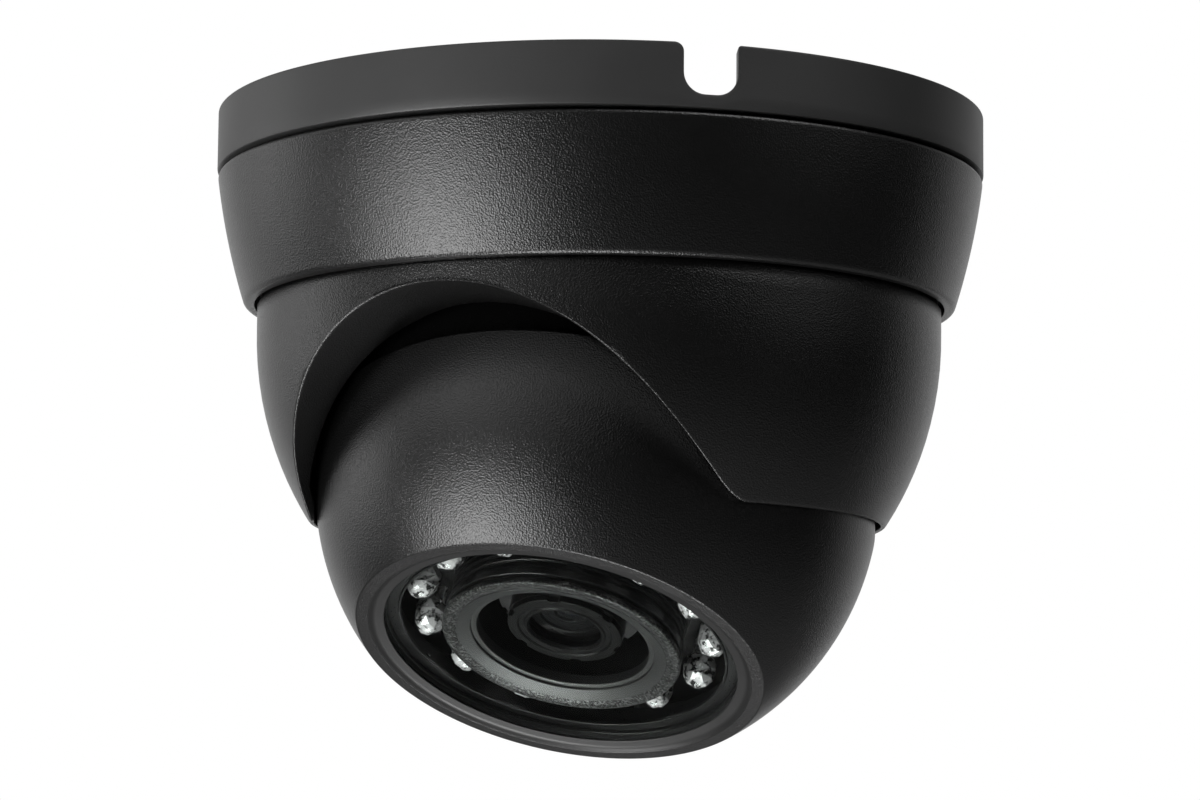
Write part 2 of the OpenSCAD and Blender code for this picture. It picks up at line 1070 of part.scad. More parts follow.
module cable_gland() {
    color(plastic)
        in_ball()
            difference() {
                union() {
                    translate([0, 0, gland_seat - 2])
                        cylinder(r = 6, h = 2);
                    translate([0, 0, gland_seat - 5.5])
                        cylinder(r = 4.2, h = 4);
                    translate([0, 0, gland_seat - eps])
                        cylinder(r = 4 - mate, h = 5.5);
                }
                translate([0, 0, gland_seat - 6])
                    cylinder(r = 2.9, h = 12);
            }
}

module gland_nut() {
    color(plastic)
        in_ball()
            difference() {
                translate([0, 0, gland_seat - 8])
                    cylinder(r = 6, h = 5.9, $fn = 6);
                translate([0, 0, gland_seat - 6.5])
                    cylinder(r = 4.2 + mate, h = 6);
                translate([0, 0, gland_seat - 9])
                    cylinder(r = 2.9, h = 6);
            }
}

module cable_grommet() {
    color(rubber)
        in_ball()
            ring(2.9 - mate, 2.1, gland_seat - 9, gland_seat + 2);
}

mounting_base();
cover_retainer();
retainer_screws();
cover_band();
skirt();
cover_lock_screw();
yoke();
pan_washer();
hub_clip();
tilt_collar();
rear_dome();
pivot_screws();
pivot_washers();
ball_shell();
front_glass();
glass_gasket();
glass_clamp_ring();
lens_shroud();
lens_tube();
led_board();
ir_leds();
light_sensor();
led_board_screws();
chassis_plate();
chassis_screws();
front_standoffs();
sensor_board();
image_sensor();
lens_holder();
lens_barrel();
lens_front_ring();
lens_lock_ring();
front_lens();
rear_lens();
filter_tray();
filter_glasses();
filter_magnet();
filter_coil();
rear_standoffs();
board_connector();
main_board();
main_chip();
power_parts();
board_screws();
rear_cover();
rear_seal();
rear_cover_screws();
cable_gland();
gland_nut();
cable_grommet();
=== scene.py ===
import json
import random
from math import acos, asin, atan2, cos, pi, radians, sin, sqrt, tan

import bmesh
import bpy
from mathutils import Matrix, Vector


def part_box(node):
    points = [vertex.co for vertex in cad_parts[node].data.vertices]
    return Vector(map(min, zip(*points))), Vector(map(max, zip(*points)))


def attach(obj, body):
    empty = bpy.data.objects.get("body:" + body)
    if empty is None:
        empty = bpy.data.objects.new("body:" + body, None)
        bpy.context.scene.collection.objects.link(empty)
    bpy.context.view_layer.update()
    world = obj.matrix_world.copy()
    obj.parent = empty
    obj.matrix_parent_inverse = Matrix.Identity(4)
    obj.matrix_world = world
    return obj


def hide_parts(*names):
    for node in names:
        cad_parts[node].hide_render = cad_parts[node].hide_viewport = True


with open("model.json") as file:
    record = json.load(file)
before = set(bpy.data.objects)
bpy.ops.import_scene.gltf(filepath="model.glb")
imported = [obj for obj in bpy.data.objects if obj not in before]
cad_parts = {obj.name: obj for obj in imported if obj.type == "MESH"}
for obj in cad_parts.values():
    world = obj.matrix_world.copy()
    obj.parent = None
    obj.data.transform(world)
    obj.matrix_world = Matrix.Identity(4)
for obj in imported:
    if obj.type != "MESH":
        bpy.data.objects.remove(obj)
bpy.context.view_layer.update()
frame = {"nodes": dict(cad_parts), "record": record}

# Sizes in millimetres, in the frame's own axes: +Z up, the ceiling face at 0, the cable notch towards -Y
MM = 0.001


def low(node, axis):
    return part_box(node)[0][axis] / MM


def high(node, axis):
    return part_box(node)[1][axis] / MM


# Sizes of the base
BASE_R = high("mounting_base", 0)
BASE_BOT = -7.3
RIM_IN = BASE_R - 2.9
NOTCH_HALF = 3.1
NOTCH_DEPTH = 5.8
NOTCH_BEND = 2.45
NOTCH_REACH = 7.0
NOTCH_FLARE = 0.95

# Sizes of the cover: the band ends a little above the solid's lower edge, and the scoop keeps to that edge
COVER_TOP = high("cover_band", 2)
BAND_LIFT = 0.65
BAND_BOT = low("cover_band", 2) + BAND_LIFT
BAND_R = BASE_R - 0.08
BAND_WALL = 2.4
BAND_TAPER = 0.123
BAND_CURVE = 0.0063
SKIRT_TOP = high("skirt", 2)
SKIRT_BOT = low("skirt", 2)
SKIRT_R = BASE_R - 5.15
BALL_R = 34.14
BALL_Z = SKIRT_BOT + 4.75
LIP_IN = BALL_R + 0.4
SOCKET_R = BALL_R + 1.15
LIP_R = sqrt(LIP_IN ** 2 - (BALL_Z - SKIRT_BOT) ** 2) + 0.53
SKIRT_Z = SKIRT_BOT + sqrt(SKIRT_R ** 2 - LIP_R ** 2)
NECK_IN = SKIRT_R - 4.6
SOCKET_TOP_R = NECK_IN - 6
SCOOP_R = 28.6
SCOOP_RISE = radians(5.5)
SCOOP_TOP = low("cover_band", 2) - 1.6
SCOOP_BEND = 1.9
SCOOP_RUN = 1.7

# Sizes of the ball: levels are along its optical axis, from its centre
FACE_R = 24.55
FACE_T = sqrt(BALL_R ** 2 - FACE_R ** 2)
REAR_T = 0.75
SHELL_IN = BALL_R - 2.94
POCKET_R = FACE_R - 0.95
OPENING_R = FACE_R - 3.25
LIP_W = 1.55
GLASS_TOP = FACE_T - 0.72
GLASS_BOT = GLASS_TOP - 0.8
RING_BOT = FACE_T - 7.2
TUBE_R = BALL_R - 9.84
TUBE_IN = TUBE_R - 5.8
TUBE_BOT = -6
WEB_BOT, WEB_TOP = 5.7, 7.5

# Sizes of the lamps and the lens
LAMP_PLACES = 13
LAMP_R = 2.15
LAMP_H = 6.7
LAMP_RING_R = OPENING_R - 3.65
BOARD_TOP = GLASS_BOT - 1.7 - LAMP_H
SHROUD_R = LAMP_RING_R - LAMP_R - 1.1
SHROUD_IN = 11.1
SHROUD_TOP = GLASS_BOT - 0.02
SHROUD_BOT = SHROUD_TOP - 2.4
LENS_TOP = SHROUD_TOP - 2.3
LENS_RING_R = 6.9
LENS_RING_IN = 4.3
OUTER_LENS_R = 5.2

# Frames: the cover, and the ball with +Z along its optical axis and +Y to the top of its face
COVER_TURN = radians(-42)
BALL_TURN = radians(-39)
BALL_TILT = radians(27.5)
COVER = Matrix.Rotation(COVER_TURN, 4, "Z")
BALL = (
    Matrix.Rotation(BALL_TURN, 4, "Z")
    @ Matrix.Translation((0, 0, BALL_Z))
    @ Matrix.Rotation(pi - BALL_TILT, 4, "X")
)


# Shader maths
class Wire:
    """A value socket of a finish: arithmetic on it adds Math nodes."""

    def __init__(self, finish, socket):
        self.finish = finish
        self.socket = socket

    def math(self, operation, *values):
        return self.finish.add("ShaderNodeMath", {"operation": operation}, dict(enumerate(values)))

    def __add__(self, other):
        return self.math("ADD", self, other)

    def __radd__(self, other):
        return self.math("ADD", other, self)

    def __mul__(self, other):
        return self.math("MULTIPLY", self, other)

    def __rmul__(self, other):
        return self.math("MULTIPLY", other, self)

    def __pow__(self, other):
        return self.math("POWER", self, other)


class Finish:
    """A node tree under construction, of a material or of the world."""

    def __init__(self, owner):
        owner.use_nodes = True
        self.owner = owner
        self.tree = owner.node_tree
        self.tree.nodes.clear()

    def add(self, kind, settings=None, sockets=None, out=0):
        """One node: its settings first, then the values or links of its sockets. Returns its output."""
        node = self.tree.nodes.new(kind)
        for key, value in (settings or {}).items():
            if key == "stops":
                set_stops(node.color_ramp, value)
            else:
                setattr(node, key, value)
        for key, value in (sockets or {}).items():
            if isinstance(value, Wire):
                self.tree.links.new(value.socket, node.inputs[key])
            else:
                node.inputs[key].default_value = value
        return Wire(self, node.outputs[out]) if len(node.outputs) else None

    def place(self):
        return self.add("ShaderNodeTexCoord", out="Object")

    def noise(self, size, detail, roughness=0.5, at=None):
        """Noise between 0 and 1 whose lumps are about size millimetres across."""
        return self.add("ShaderNodeTexNoise", None, {
            "Vector": at or self.place(), "Scale": 1 / (size * MM), "Detail": detail, "Roughness": roughness,
        })

    def ramp(self, value, *stops):
        return self.add("ShaderNodeValToRGB", {"stops": stops}, {"Fac": value})

    def blend(self, amount, first, second):
        """A colour between two, by amount."""
        sockets = {0: amount, 6: first, 7: second}
        return self.add("ShaderNodeMix", {"data_type": "RGBA"}, sockets, 2)

    def bump(self, height, depth):
        """The normal of a height between 0 and 1, depth millimetres deep."""
        return self.add("ShaderNodeBump", None, {"Height": height, "Distance": depth * MM, "Strength": 1.0})

    def gloss_share(self, straight, slanted):
        """How much gloss glass shows: seen straight on, and what is added where it is seen at a slant."""
        slant = self.add("ShaderNodeLayerWeight", None, {"Blend": 0.5}, "Facing")
        return straight + slanted * slant ** 6

    def principled(self, **sockets):
        named = {key.replace("_", " "): value for key, value in sockets.items()}
        return self.add("ShaderNodeBsdfPrincipled", None, named)

    def clear(self):
        return self.add("ShaderNodeBsdfTransparent", None, {"Color": grey(0.92)})

    def let_lamps_through(self, glass):
        """The glass, but clear to the rays that bring light to what is behind it."""
        shadow = self.add("ShaderNodeLightPath", out="Is Shadow Ray")
        scattered = self.add("ShaderNodeLightPath", out="Is Diffuse Ray")
        lit = self.add("ShaderNodeMath", {"operation": "MAXIMUM"}, {0: shadow, 1: scattered})
        return self.add("ShaderNodeMixShader", None, {0: lit, 1: glass, 2: self.clear()})

    def close(self, shader):
        self.add("ShaderNodeOutputMaterial", None, {"Surface": shader})
        return self.owner

    def paint(self, **sockets):
        """The finished material of one principled shader."""
        return self.close(self.principled(**sockets))


def set_stops(ramp, stops):
    while len(ramp.elements) < len(stops):
        ramp.elements.new(1.0)
    for element, (position, level) in zip(ramp.elements, stops):
        element.position = position
        element.color = grey(level)


def grey(level):
    return (level, level, level, 1)


def material(name):
    return Finish(bpy.data.materials.new(name))


# Finishes
def satin_black():
    """The base: smooth satin paint with a little dust in it."""
    f = material("satin_black")
    cloud = f.noise(9, 3)
    speck = f.noise(0.22, 1)
    colour = f.blend(cloud, grey(0.026), grey(0.035))
    normal = f.bump(speck, 0.010)
    return f.paint(Base_Color=colour, Roughness=0.40 + 0.10 * cloud, Normal=normal)


def grained_black():
    """The cover and the ball: black coat with a fine leather-like grain."""
    f = material("grained_black")
    at = f.place()
    cells = f.add("ShaderNodeTexVoronoi", {"feature": "SMOOTH_F1"},
                  {"Vector": at, "Scale": 1 / (0.21 * MM), "Smoothness": 0.2})
    fine = f.noise(0.16, 1, at=at)
    height = 0.65 * cells + 0.35 * fine
    tone = f.noise(14, 3, at=at)
    colour = f.blend(tone, grey(0.0018), grey(0.0032))
    rough = 0.24 + 0.06 * tone + 0.08 * fine
    return f.paint(Base_Color=colour, Roughness=rough, Specular_IOR_Level=0.65,
                   Normal=f.bump(height, 0.052))


def smooth_black():
    """The bezel inside the lip and the slope round the lens: the same coat, left smooth."""
    f = material("smooth_black")
    cloud = f.noise(5, 2)
    speck = f.noise(0.16, 1)
    colour = f.blend(cloud, grey(0.005), grey(0.009))
    return f.paint(Base_Color=colour, Roughness=0.36 + 0.08 * cloud, Specular_IOR_Level=0.65,
                   Normal=f.bump(speck, 0.006))


def black_plastic(name, gloss):
    """Moulded black plastic inside: fine erosion grain."""
    f = material(name)
    grain = f.noise(0.25, 3)
    tone = f.noise(6, 2)
    colour = f.blend(tone, grey(0.002), grey(0.004))
    return f.paint(Base_Color=colour, Roughness=0.24 + 0.10 * grain, Specular_IOR_Level=gloss,
                   Normal=f.bump(grain, 0.006))


def speckled_ring():
    """The ring round the lens: bead-blasted and blackened, with a faint glitter."""
    f = material("speckled_ring")
    pits = f.noise(0.30, 2, 0.6)
    tone = f.ramp(pits, (0.46, 0.008), (0.70, 0.17))
    return f.paint(Base_Color=tone, Metallic=0.6, Roughness=0.30 + 0.16 * pits, Specular_IOR_Level=0.2,
                   Normal=f.bump(pits, 0.022))


def black_rubber():
    f = material("black_rubber")
    grain = f.noise(0.4, 2)
    colour = f.blend(grain, grey(0.006), grey(0.012))
    return f.paint(Base_Color=colour, Roughness=0.62 + 0.15 * grain, Normal=f.bump(grain, 0.02))


def plated_steel():
    f = material("plated_steel")
    cloud = f.noise(1.6, 4)
    colour = f.blend(cloud, grey(0.30), grey(0.42))
    return f.paint(Base_Color=colour, Metallic=1.0, Roughness=0.26 + 0.16 * cloud,
                   Normal=f.bump(cloud, 0.004))


def dark_aluminium():
    f = material("dark_aluminium")
    brushed = f.noise(0.5, 3)
    colour = f.blend(brushed, grey(0.035), grey(0.06))
    return f.paint(Base_Color=colour, Metallic=0.8, Roughness=0.36 + 0.14 * brushed,
                   Normal=f.bump(brushed, 0.006))


def circuit_board(name, dark, light):
    """Solder mask over copper: faint tracks under the colour."""
    f = material(name)
    tracks = f.add("ShaderNodeTexBrick", None,
                   {"Vector": f.place(), "Scale": 1 / (2.6 * MM), "Mortar Size": 0.05}, 1)
    cloud = f.noise(4, 2)
    shade = 0.75 * tracks + 0.25 * cloud
    return f.paint(Base_Color=f.blend(shade, dark, light), Roughness=0.30 + 0.12 * cloud,
                   Normal=f.bump(tracks, 0.01))


def chips():
    f = material("chips")
    grain = f.noise(0.3, 3)
    colour = f.blend(grain, grey(0.010), grey(0.020))
    return f.paint(Base_Color=colour, Roughness=0.45 + 0.15 * grain, Normal=f.bump(grain, 0.008))


def connector_white():
    f = material("connector_white")
    cloud = f.noise(2, 2)
    colour = f.blend(cloud, (0.62, 0.58, 0.48, 1), (0.74, 0.71, 0.62, 1))
    return f.paint(Base_Color=colour, Roughness=0.38 + 0.12 * cloud)


def warm_metal(name, dark, light):
    f = material(name)
    cloud = f.noise(1.2, 3)
    return f.paint(Base_Color=f.blend(cloud, dark, light), Metallic=1.0, Roughness=0.24 + 0.18 * cloud)


def window_glass():
    """The flat front window: clear, with the gloss of its two faces."""
    f = material("window_glass")
    bent = f.add("ShaderNodeBsdfRefraction", None,
                 {"Color": (0.96, 0.98, 0.97, 1), "Roughness": 0.0, "IOR": 1.5})
    gloss = f.add("ShaderNodeBsdfGlossy", None, {"Color": grey(1.0), "Roughness": 0.02})
    coated = f.add("ShaderNodeMixShader", None, {0: f.gloss_share(0.004, 0.22), 1: bent, 2: gloss})
    return f.close(f.let_lamps_through(coated))


def thin_glass(name, tint, straight):
    """Clear glass or resin that doesn't bend what is behind it, with a coated gloss."""
    f = material(name)
    gloss = f.add("ShaderNodeBsdfGlossy", None, {"Color": tint, "Roughness": 0.02})
    share = f.gloss_share(straight, 0.25)
    return f.close(f.add("ShaderNodeMixShader", None, {0: share, 1: f.clear(), 2: gloss}))


def lamp_metal():
    """The works of the lamps: bright facets whose colour holds painted reflections, white patches with dark
    ones between them, in place of the glints seen through the resin.
    """
    f = material("lamp_metal")
    painted_glint_noise = f.noise(0.9, 2, 0.6)
    # Painted reflections: the ramp paints bright and dark patches into the base colour, standing in for the
    # glints that the lamps' resin shows
    tone = f.ramp(painted_glint_noise, (0.40, 0.05), (0.50, 0.95))
    return f.paint(Base_Color=tone, Metallic=0.35, Roughness=0.18 + 0.14 * painted_glint_noise)


def lens_glass():
    """The lens: dark coated glass."""
    f = material("lens_glass")
    cloud = f.noise(3, 1)
    colour = f.blend(cloud, (0.003, 0.003, 0.004, 1), (0.005, 0.006, 0.008, 1))
    return f.paint(Base_Color=colour, Roughness=0.03, IOR=1.6, Coat_Weight=0.6, Coat_Roughness=0.02)


SATIN = satin_black()
GRAINED = grained_black()
SMOOTH = smooth_black()
PLASTIC = black_plastic("black_plastic", 0.4)
LENS_BLACK = black_plastic("lens_black", 0.12)
SPECKLED = speckled_ring()
RUBBER = black_rubber()
STEEL = plated_steel()
ALUMINIUM = dark_aluminium()
BOARD = circuit_board("circuit_board", (0.008, 0.045, 0.018, 1), (0.016, 0.075, 0.030, 1))
BLACK_BOARD = circuit_board("black_board", grey(0.004), grey(0.008))
CHIPS = chips()
WHITE = connector_white()
BRASS = warm_metal("brass_posts", (0.45, 0.30, 0.09, 1), (0.58, 0.42, 0.16, 1))
COPPER = warm_metal("copper_coil", (0.05, 0.022, 0.012, 1), (0.08, 0.035, 0.018, 1))
WINDOW = window_glass()
LAMP_LENS = thin_glass("lamp_lens", grey(1.0), 0.05)
LAMP_METAL = lamp_metal()
LENS_GLASS = lens_glass()
LENS_COVER = thin_glass("lens_cover", (0.86, 0.92, 1.0, 1), 0.006)


# Shapes
SHARP = 38
MERGE = 2e-7


def rounded(corners, steps=4):
    """The closed outline through corners (r, z, radius), each rounded between two points close by."""
    points = []
    count = len(corners)
    for i, corner in enumerate(corners):
        here = Vector(corner[:2])
        radius = corner[2] if len(corner) > 2 else 0
        if not radius:
            points.append(here)
            continue
        back = Vector(corners[i - 1][:2]) - here
        ahead = Vector(corners[(i + 1) % count][:2]) - here
        half = back.angle(ahead) / 2
        reach = radius / tan(half)
        centre = here + (back.normalized() + ahead.normalized()).normalized() * radius / sin(half)
        start = here + back.normalized() * reach
        stop = here + ahead.normalized() * reach
        if back.length > reach * 1.6:
            points.append(start + back.normalized() * reach * 0.3)
        turn = (start - centre).angle_signed(stop - centre)
        for k in range(steps + 1):
            points.append(centre + Matrix.Rotation(-turn * k / steps, 2) @ (start - centre))
        if ahead.length > reach * 1.6:
            points.append(stop + ahead.normalized() * reach * 0.3)
    return points


def arc(radius, start, stop, steps, centre=(0, 0)):
    """Points (r, z) of an arc between two angles."""
    turns = [start + (stop - start) * k / steps for k in range(steps + 1)]
    return [(centre[0] + radius * cos(a), centre[1] + radius * sin(a)) for a in turns]


def turned(outline, around=160):
    """The closed outline (r, z) turned about Z: vertices and faces."""
    rows = len(outline)
    verts = []
    for k in range(around):
        a = 2 * pi * k / around
        verts += [(p[0] * cos(a), p[0] * sin(a), p[1]) for p in outline]
    return verts, grid_faces(around, rows)


def grid_faces(columns, rows):
    """Faces of a grid that closes on itself both ways."""
    faces = []
    for c in range(columns):
        here, there = c * rows, (c + 1) % columns * rows
        for r in range(rows):
            after = (r + 1) % rows
            faces.append((here + r, there + r, there + after, here + after))
    return faces


def tidy(mesh, sharp=SHARP):
    """Merges what coincides, points the faces outwards and smooths what isn't sharp."""
    work = bmesh.new()
    work.from_mesh(mesh)
    bmesh.ops.remove_doubles(work, verts=work.verts, dist=MERGE)
    bmesh.ops.dissolve_degenerate(work, edges=work.edges, dist=MERGE)
    bmesh.ops.recalc_face_normals(work, faces=work.faces)
    work.to_mesh(mesh)
    work.free()
    mesh.polygons.foreach_set("use_smooth", [True] * len(mesh.polygons))
    mesh.set_sharp_from_angle(angle=radians(sharp))


def new_object(name, mesh):
    obj = bpy.data.objects.new(name, mesh)
    bpy.context.scene.collection.objects.link(obj)
    return obj


def dress(obj, finish, body, stands_for=()):
    """Gives a finished piece its material, its body and the nodes that it stands for."""
    obj.data.materials.clear()
    obj.data.materials.append(finish)
    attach(obj, body)
    if stands_for:
        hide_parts(*stands_for)


def shape_mesh(name, shape, place=Matrix(), sharp=SHARP):
    verts, faces = shape
    mesh = bpy.data.meshes.new(name)
    mesh.from_pydata([(place @ Vector(v)) * MM for v in verts], [], faces)
    tidy(mesh, sharp)
    return mesh


def piece(name, shape, place, finish, body, stands_for=()):
    dress(new_object(name, shape_mesh(name, shape, place)), finish, body, stands_for)


def baked(obj, name):
    """The object's shape with its modifiers applied, as a plain object. The first one is removed."""
    view = bpy.context.evaluated_depsgraph_get()
    mesh = bpy.data.meshes.new_from_object(obj.evaluated_get(view))
    mesh.name = name
    bpy.data.objects.remove(obj)
    return new_object(name, mesh)


def steps_between(start, stop, count):
    return [start + (stop - start) * k / count for k in range(count + 1)]


def on_cylinder(radius, turn, z):
    """A point at a turn from the front, which is towards -Y."""
    return Vector((radius * sin(turn), -radius * cos(turn), z))


def soft_corner(before, corner, after, radius, steps=4):
    """Points that round a corner between two directions."""
    start = corner + (before - corner).normalized() * min(radius, (before - corner).length * 0.45)
    stop = corner + (after - corner).normalized() * min(radius, (after - corner).length * 0.45)
    turns = [k / steps for k in range(steps + 1)]
    return [start * (1 - t) ** 2 + corner * 2 * t * (1 - t) + stop * t * t for t in turns]


def spaced(points, step):
    """The same open line with points about a step apart."""
    result = [Vector(points[0])]
    for before, after in zip(points, points[1:]):
        count = max(1, round((Vector(after) - Vector(before)).length / step))
        result += [Vector(before).lerp(Vector(after), k / count) for k in range(1, count + 1)]
    return result


# Base
TRAY_SHARP = 11


def notch_edge():
    """The rim's upper edge across the cable notch, from left to right: (along, z)."""
    corners = [(-NOTCH_REACH, 0), (-NOTCH_HALF, 0, 1.1), (-NOTCH_HALF, -NOTCH_DEPTH, NOTCH_BEND),
               (NOTCH_HALF, -NOTCH_DEPTH, NOTCH_BEND), (NOTCH_HALF, 0, 0.45), (NOTCH_REACH, 0)]
    return spaced(rounded(corners, 10), 0.25)


def rim_columns():
    """The upper edge all round: (along, z), the way into the wall from there, and the foot under it."""
    edge = notch_edge()
    columns = []
    for k, here in enumerate(edge):
        ahead = edge[min(k + 1, len(edge) - 1)] - edge[max(k - 1, 0)]
        into = Vector((ahead.y, -ahead.x)).normalized()
        foot = NOTCH_REACH * (2 * k / (len(edge) - 1) - 1)
        columns.append((here, into, foot))
    length = 2 * pi * BASE_R
    for along in steps_between(NOTCH_REACH, length - NOTCH_REACH, 220)[1:-1]:
        columns.append((Vector((along, 0)), Vector((0, -1)), along))
    return columns


def notch_flare(along):
    """How far the notch's side is moved on the inside of the rim."""
    side = abs(along)
    if side >= NOTCH_REACH:
        return 0
    widest = min(side / NOTCH_HALF, (NOTCH_REACH - side) / (NOTCH_REACH - NOTCH_HALF))
    return NOTCH_FLARE * widest * (1 if along > 0 else -1)


def rim_column(here, into, foot):
    """Points round the rim's section: up its outside, over its upper edge and down its inside."""
    bevel = 0.3
    flare = notch_flare(here.x)
    foot_turn = foot / BASE_R

    def outside(point):
        return on_cylinder(BASE_R, point.x / BASE_R, point.y)

    def inside(point):
        return on_cylinder(RIM_IN, (point.x + flare) / BASE_R, point.y)

    below = here + into * 0.35
    lowest = Vector((foot, BASE_BOT + bevel))
    column = [on_cylinder(BASE_R - bevel, foot_turn, BASE_BOT)]
    column += [on_cylinder(BASE_R - 0.08, foot_turn, BASE_BOT + 0.08)]
    column += [outside(lowest.lerp(below, k / 5)) for k in range(6)]
    column += soft_corner(outside(below), outside(here), inside(here), bevel)
    column += soft_corner(outside(here), inside(here), inside(below), bevel)
    column += [inside(below.lerp(lowest, k / 3)) for k in range(4)]
    column += [on_cylinder(RIM_IN, foot_turn, BASE_BOT)]
    return column


def rim_shape():
    """The base's rim: a rounded upper edge, and a notch whose sides open towards the inside."""
    columns = [rim_column(*line) for line in rim_columns()]
    return sum(columns, []), grid_faces(len(columns), len(columns[0]))


def tray_mesh():
    """The base inside its rim: floor, bosses, ribs and spigot, cut from the solid."""
    mesh = frame["nodes"]["mounting_base"].data.copy()
    tidy(mesh)
    obj = new_object("tray_work", mesh)
    reach, under, over = RIM_IN + 0.06, -40, 5
    inside_rim = turned([(0, under), (reach, under), (reach, over), (0, over)], 240)
    cutter = new_object("cutter", shape_mesh("cutter", inside_rim))
    cut = obj.modifiers.new("inside_the_rim", "BOOLEAN")
    cut.operation = "INTERSECT"
    cut.solver = "EXACT"
    cut.object = cutter
    inner = baked(obj, "tray")
    bpy.data.objects.remove(cutter)
    result = inner.data
    bpy.data.objects.remove(inner)
    tidy(result, TRAY_SHARP)
    return result


def base_mesh():
    work = bmesh.new()
    for part in (shape_mesh("rim", rim_shape()), tray_mesh()):
        work.from_mesh(part)
    mesh = bpy.data.meshes.new("base")
    work.to_mesh(mesh)
    work.free()
    return mesh


dress(new_object("notched_base", base_mesh()), SATIN, "base", ["mounting_base"])


# Cover
def band_outline():
    """The band: nearly upright at the top, drawn in more and more towards the skirt, with a gap under it."""
    def at(z):
        down = COVER_TOP - z
        return BAND_R - BAND_TAPER * down - BAND_CURVE * down ** 2

    def inner(z):
        return at(z) - BAND_WALL

    gap = SKIRT_R + 0.3
    outside = [(at(z), z) for z in steps_between(COVER_TOP - 1.0, BAND_BOT + 1.2, 16)]
    corners = [(inner(COVER_TOP), COVER_TOP), (at(COVER_TOP), COVER_TOP, 0.45), *outside,
               (at(BAND_BOT), BAND_BOT, 0.8), (gap + 0.1, BAND_BOT, 0.05), (gap, BAND_BOT + 0.2),
               (gap, BAND_BOT + 2.2)]
    corners += [(inner(z), z) for z in steps_between(BAND_BOT + 2.3, COVER_TOP - 0.5, 6)]
    return rounded(corners, 6)


def skirt_out(z):
    return SKIRT_R if z > SKIRT_Z else sqrt(SKIRT_R ** 2 - (z - SKIRT_Z) ** 2)


def skirt_in(z):
    """Inside of the skirt: a lip close to the ball, then its socket."""
    lip = min(max((z - SKIRT_BOT - 2.4) / 0.8, 0), 1)
    ball = LIP_IN + (SOCKET_R - LIP_IN) * lip
    return max(sqrt(max(ball ** 2 - (z - BALL_Z) ** 2, 0)), SOCKET_TOP_R)


def scoop_point(turn, surface):
    """Where the scoop's cylinder, at a turn from its top, meets a surface of radius surface(z)."""
    x = SCOOP_R * sin(turn)
    up = SCOOP_R * cos(turn) - SCOOP_R
    near, far = -20.0, 60.0
    for _ in range(60):
        depth = (near + far) / 2
        y = -SKIRT_R + up * sin(SCOOP_RISE) + depth * cos(SCOOP_RISE)
        z = SCOOP_TOP + up * cos(SCOOP_RISE) - depth * sin(SCOOP_RISE)
        if y < 0 and x * x + y * y > surface(z) ** 2:
            near = depth
        else:
            far = depth
    return atan2(x, -y), z


def scoop_edge(surface, radius):
    """Half of the skirt's lower edge on a surface, from the scoop's top to the back: (azimuth, z)."""
    near, far = 0.1, radians(85)
    for _ in range(50):
        turn = (near + far) / 2
        if scoop_point(turn, surface)[1] > SKIRT_BOT:
            near = turn
        else:
            far = turn
    corner = Vector(scoop_point(turn, surface))
    bend = asin(SCOOP_BEND / SCOOP_R)
    points = [Vector(scoop_point(a, surface)) for a in steps_between(0, turn - bend, 44)]
    start, stop = points[-1], corner + Vector((SCOOP_RUN / radius, 0))
    for k in range(1, 13):
        t = k / 13
        points.append(start * (1 - t) ** 2 + corner * 2 * t * (1 - t) + stop * t * t)
    points += [Vector((a, SKIRT_BOT)) for a in steps_between(stop[0], pi, 40)]
    return points


def skirt_column(turn, z, inner_turn, inner_z):
    """Points round the skirt's section: down its outside, round its lower edge and up its inside."""
    neck_r, neck_z = SKIRT_R - 0.55, BAND_BOT + 0.02
    top_z = SKIRT_Z + 1
    nearby = 0.8

    def outside(level):
        return on_cylinder(skirt_out(level), turn, level)

    def inside(level):
        return on_cylinder(skirt_in(level), inner_turn, level)

    edge, lip = outside(z), inside(inner_z)
    neck = ((NECK_IN, SKIRT_TOP), (neck_r, SKIRT_TOP), (neck_r, neck_z), (SKIRT_R - 0.25, neck_z),
            (SKIRT_R - 0.07, neck_z - 0.05))
    skin = [z + (neck_z - 0.2 - z) * (1 - k / 14) ** 1.3 for k in range(14)]
    column = [on_cylinder(radius, turn, level) for radius, level in neck]
    column += [outside(level) for level in skin]
    column += soft_corner(outside(z + nearby), edge, lip, 0.55, 5)
    column += [edge.lerp(lip, t) for t in (0.3, 0.5, 0.7)]
    column += soft_corner(edge, lip, inside(inner_z + nearby), 0.25, 3)
    column += [inside(level) for level in steps_between(inner_z + 0.7, top_z - 0.05, 8)]
    column += [on_cylinder(SOCKET_TOP_R, inner_turn, top_z), on_cylinder(NECK_IN, inner_turn, top_z)]
    return column


def skirt_shape():
    """The skirt: one half of its lower edge is worked out, and the other mirrors it."""
    edges = zip(scoop_edge(skirt_out, LIP_R), scoop_edge(skirt_in, LIP_R))
    half = [(*outer, *inner) for outer, inner in edges]
    mirrored = [(-turn, z, -inner_turn, inner_z) for turn, z, inner_turn, inner_z in half[-2:0:-1]]
    columns = [skirt_column(*line) for line in half + mirrored]
    return sum(columns, []), grid_faces(len(columns), len(columns[0]))


piece("band", turned(band_outline(), 240), COVER, GRAINED, "cover", ["cover_band"])
piece("scooped_skirt", skirt_shape(), COVER, GRAINED, "cover", ["skirt"])


